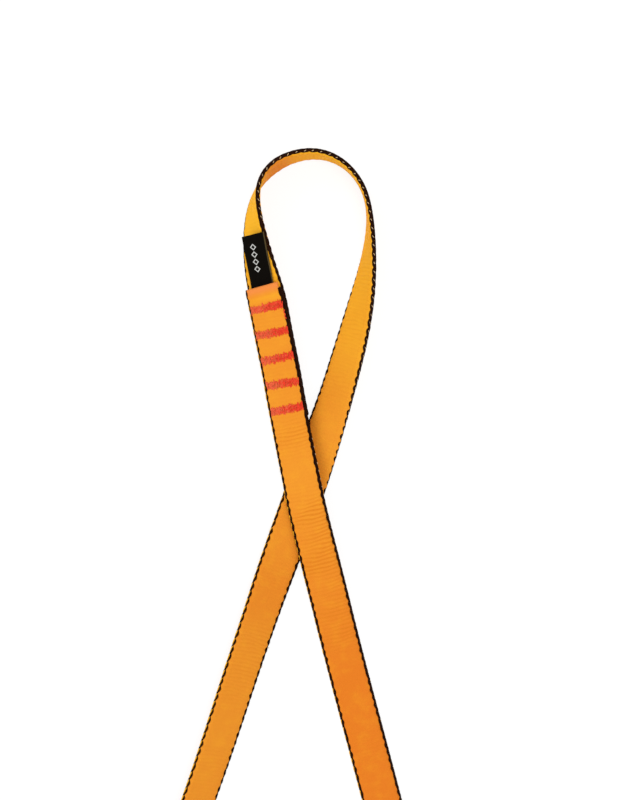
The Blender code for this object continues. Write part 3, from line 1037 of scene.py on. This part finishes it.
label = {
    "width": 0.0111,
    "aside": 0.00015,  # how far its middle lies right of the tape's
    "flap": 0.0213,  # from the root line to the fold
    "tail": 0.0119,  # from the root line to the ribbon's sewn-in ends
    "rootGap": 0.0024,  # from the tape's end to the root line
    "turn": math.radians(10),
    "pitch": math.radians(6),
    "bendReach": 0.0012,
    "thickness": 0.00021,
    "plyGap": 0.00012,  # half of the space between the two plies
    "puff": 0.00030,  # how far the upper ply stands off in the middle of the flap
    "bow": 0.00035,  # how far the flap's sides curl down
    "skew": 0.14,  # how far the fold is out of square: extra length for each width to the right
    "columns": 25,
    "edgeColumns": 2,
    "foldPoints": 9,
    "step": 0.0003,
    "lowerMap": -60.0,  # millimetres, where the lower ply's flat map begins, clear of the diamonds
}


# A folded ribbon: its middle line runs out along the upper ply, round a half circle at the fold and
# back along the lower ply. Past the root line it bends up by the pitch, over a short reach, and the
# section is a thin flat strip square to that line.
def makeLabel():
    size = label
    radius = size["plyGap"] + size["thickness"] / 2
    straight = size["flap"] - radius - size["thickness"] / 2
    out = np.linspace(-size["tail"], straight, round((straight + size["tail"]) / size["step"]) + 1)
    around = np.linspace(0, np.pi, size["foldPoints"])[1:-1]
    y = np.concatenate([out, straight + radius * np.sin(around), out[::-1]])
    z = np.concatenate([np.full(len(out), radius), radius * np.cos(around), np.full(len(out), -radius)])
    share = np.clip(y / straight, 0, 1)
    z += np.where(z > 0, size["puff"] * np.sin(np.pi * share) ** 2, 0)
    travel = unit(np.gradient(np.stack([y, z], axis=1), axis=0))
    normal = np.stack([-travel[:, 1], travel[:, 0]], axis=1)
    half, thick = size["width"] / 2, size["thickness"] / 2
    a, c = stripSection(half - thick, thick, thick, size)
    yAll = (y[:, None] + normal[:, :1] * c) * (1 + size["skew"] * a / size["flap"] * (y[:, None] > 0))
    zAll = z[:, None] + normal[:, 1:] * c
    zAll = zAll - size["bow"] * (a / half) ** 2 * np.sin(np.pi / 2 * np.clip(yAll / size["flap"], 0, 1))

    # The bend at the root: the pitch grows over the reach, so the line turns through a short arc.
    past = np.clip((yAll + size["bendReach"]) / (2 * size["bendReach"]), 0, 1)
    pitch = size["pitch"] * past
    yBent = np.where(past < 1, yAll, yAll * np.cos(pitch)) - zAll * np.sin(pitch)
    rise = np.where(past < 1, size["pitch"] * size["bendReach"] * past ** 2, yAll * np.sin(pitch))
    zBent = rise + zAll * np.cos(pitch)
    s = -size["rootGap"] + a * math.sin(size["turn"]) - yBent * math.cos(size["turn"])
    u = size["aside"] + a * math.cos(size["turn"]) + yBent * math.sin(size["turn"])
    off = tape["thickness"] / 2 * (1 - tape["drawShare"]) + tape["clearance"] + tape["labelThickness"] / 2
    points = onTape(s, u, off - zBent, drawIn=False)

    upper = (np.arange(len(y)) < len(out) + len(around) // 2)[:, None]
    along = np.where(upper, yAll * 1000, size["lowerMap"] - yAll * 1000)
    return putStrip("labelRibbon", points, a * 1000, along, size, labelMaterial)


labelPiece = makeLabel()
print("label folded")


# Loose fibres

fibres = {
    "blackHairs": {"yarn": "blackEdgeYarn", "count": 160, "reach": 0.0085, "lengths": (0.0004, 0.0011),
                   "radius": 0.000022, "seed": 42},
    "orangeHairs": {"yarn": "orangeWeft", "count": 90, "reach": 0.0080, "lengths": (0.0008, 0.0016),
                    "radius": 0.000020, "seed": 44},
    "orangeTufts": {"yarn": "orangeWeft", "count": 24, "reach": 0.0084, "lengths": (0.0008, 0.0014),
                    "radius": 0.000045, "seed": 47, "places": (0.8633, 0.8712, 0.8795), "spread": 0.0003},
}
fibreMake = {
    "points": 7,
    "sides": 4,
    "blunt": 0.0004,
    "fromEnds": 0.001,
    "rootBand": 0.4,  # how far up and down the side they root, in thicknesses
    "leave": (1.0, 0.25, 0.6),  # spread of the directions that hairs leave the cloth in
    "outward": 1.1,
    "bend": (1.0, 0.4, 0.5),
    "bendShare": 0.45,
}


# Thin hairs that stand off the sides of the tape: each is a parabola that leaves its root along a
# seeded direction and bends over towards a second one, with a tapering round section. Hairs that
# would pass under the floor are left out. Tufts are hairs that stand close together on the right side.
def makeFibres(name, size):
    random = np.random.default_rng(size["seed"])
    count, make = size["count"], fibreMake
    side = np.where(random.random(count) < 0.5, -1, 1)
    s = random.uniform(make["fromEnds"], tapeLength - make["fromEnds"], count)
    if "places" in size:
        side, s = np.ones(count), np.resize(size["places"], count) + random.normal(0, size["spread"], count)
    height = random.uniform(-make["rootBand"], make["rootBand"], count) * tape["thickness"]
    roots = together(s, side * size["reach"], height)
    lengths = random.uniform(*size["lengths"], count)
    outward = together(0, make["outward"] * side, 0)
    leave = unit(random.normal(0, 1, roots.shape) * make["leave"] + outward)
    bend = unit(random.normal(0, 1, roots.shape) * make["bend"])
    t = np.linspace(0, 1, make["points"])[None, :, None]
    curve = leave[:, None] * t + make["bendShare"] * bend[:, None] * t ** 2
    paths = roots[:, None] + lengths[:, None, None] * curve
    clear = onTape(*np.moveaxis(paths, -1, 0))[..., 2].min(axis=1) > size["radius"]
    tubes = flatTubes(paths[clear], size["radius"], make["sides"], blunt=make["blunt"])
    return putTubes(name, tubes, material=yarnMaterials[size["yarn"]])


blackHairs, orangeHairs, orangeTufts = (makeFibres(name, size) for name, size in fibres.items())
print("loose fibres raised")


# What each piece rides on and stands for

sewn = [webbingPiece, *edgeCordPieces.values(), paintedGlintSpecks, outerLoops, needleThread, bobbinThread,
        blackHairs, orangeHairs, orangeTufts]
for piece in sewn:
    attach(piece, "sling")
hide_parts("webbing_tape")
for key, size in edgeCords.items():
    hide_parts(size["node"])
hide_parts(*(f"tack_needle_thread_{number + 1}" for number in range(lap["tackCount"])))
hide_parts(*(f"tack_bobbin_thread_{number + 1}" for number in range(lap["tackCount"])))

joint = frame["joints"][0]
hinge, hingeAxis = np.array(joint["pos_m"]), unit(np.array(joint["axis"]))
labelUp = -readTape("face", np.array(0.0))
labelAlong = unit(np.cross(labelUp, hingeAxis))
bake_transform(labelPiece)
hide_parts("label_flap", "label_tail")

slots = {
    "orange_webbing": [webbingPiece, outerLoops, paintedGlintSpecks, orangeHairs, orangeTufts],
    "black_edge_yarn": [*edgeCordPieces.values(), blackHairs],
    "red_thread": [needleThread, bobbinThread],
    "label_ribbon": [labelPiece],
}
for slot, pieces in slots.items():
    for piece in pieces:
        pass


# Floor, light and camera

stand = {
    "side": 6.0,
    "drop": 0.0002,  # how far the floor lies under the lowest yarn
    "seenColour": (0.22, 0.22, 0.22),
    "addedWhite": 0.83,  # seen by the camera and in reflections only, over the seen colour
    "bounceColour": (0.80, 0.80, 0.80),
}


# A white sheet as large as the studio: one diffuse face that keeps the sling's shadow. The camera and
# reflections see a greyer cloth with white added, and the light it gives back has a colour of its own.
def makeFloor():
    mesh = bpy.data.meshes.new("floor")
    reach = stand["side"] / 2
    corners = ((-reach, -reach), (reach, -reach), (reach, reach), (-reach, reach))
    mesh.from_pydata([(x, y, -stand["drop"]) for x, y in corners], [], [(0, 1, 2, 3)])
    material, desk, shader = newMaterial("whitePaper", 0.0)
    shader.inputs["Roughness"].default_value = 1.0
    shader.inputs["Emission Color"].default_value = (1, 1, 1, 1)
    seen = desk.seen()
    desk.join(desk.mix(seen, stand["bounceColour"], stand["seenColour"]), shader.inputs["Base Color"])
    desk.join(desk.math("MULTIPLY", seen, stand["addedWhite"]), shader.inputs["Emission Strength"])
    mesh.materials.append(material)
    floor = putObject("floor", mesh)


studio = {
    "worldLevel": 0.55,
    "aim": (0.0, 0.20, 0.01),
    "lampSize": 0.50,
    "lamps": {
        "topLamp": {"place": (0.25, 0.05, 1.15), "power": 4.5},
        "farLamp": {"place": (-0.65, 0.75, 0.60), "power": 2.9},
        "leftLamp": {"place": (-0.82, -0.35, 0.52), "power": 1.8},
        "nearLamp": {"place": (-0.30, -0.80, 0.45), "power": 0.8},
        "rightLamp": {"place": (0.75, -0.45, 0.60), "power": 1.5},
    },
}


# Soft light: a plain white world and square lamps that face the sling
def makeLight():
    world = bpy.data.worlds.new("studio")
    bpy.context.scene.world = world
    world.use_nodes = True
    desk = NodeDesk(world.node_tree)
    background = world.node_tree.nodes["Background"]
    background.inputs["Color"].default_value = (1, 1, 1, 1)
    seen = desk.seen()
    level = studio["worldLevel"]
    desk.join(desk.math("MULTIPLY_ADD", seen, 1 - level, level), background.inputs["Strength"])
    for name, size in studio["lamps"].items():
        lamp = bpy.data.lights.new(name, "AREA")
        lamp.size, lamp.energy = studio["lampSize"], size["power"]
        holder = putObject(name, lamp)
        place = np.array(size["place"])
        holder.location = place
        facing = Vector(np.array(studio["aim"]) - place)
        holder.rotation_euler = facing.to_track_quat("-Z", "Y").to_euler()


camera = {
    "over": (0.01496, 0.15372),  # straight above this point of the floor
    "height": 0.609,
    "lens": 60.0,
    "sensor": 36.0,
}


# The camera looks straight down, with the top of the picture towards +Y
def makeCamera():
    data = bpy.data.cameras.new("camera")
    data.lens, data.sensor_width = camera["lens"], camera["sensor"]
    holder = putObject("camera", data)
    holder.location = (*camera["over"], camera["height"])
    bpy.context.scene.camera = holder


makeFloor()
makeLight()
makeCamera()
bpy.context.scene.view_settings.view_transform = "Standard"
print("floor, light and camera placed")
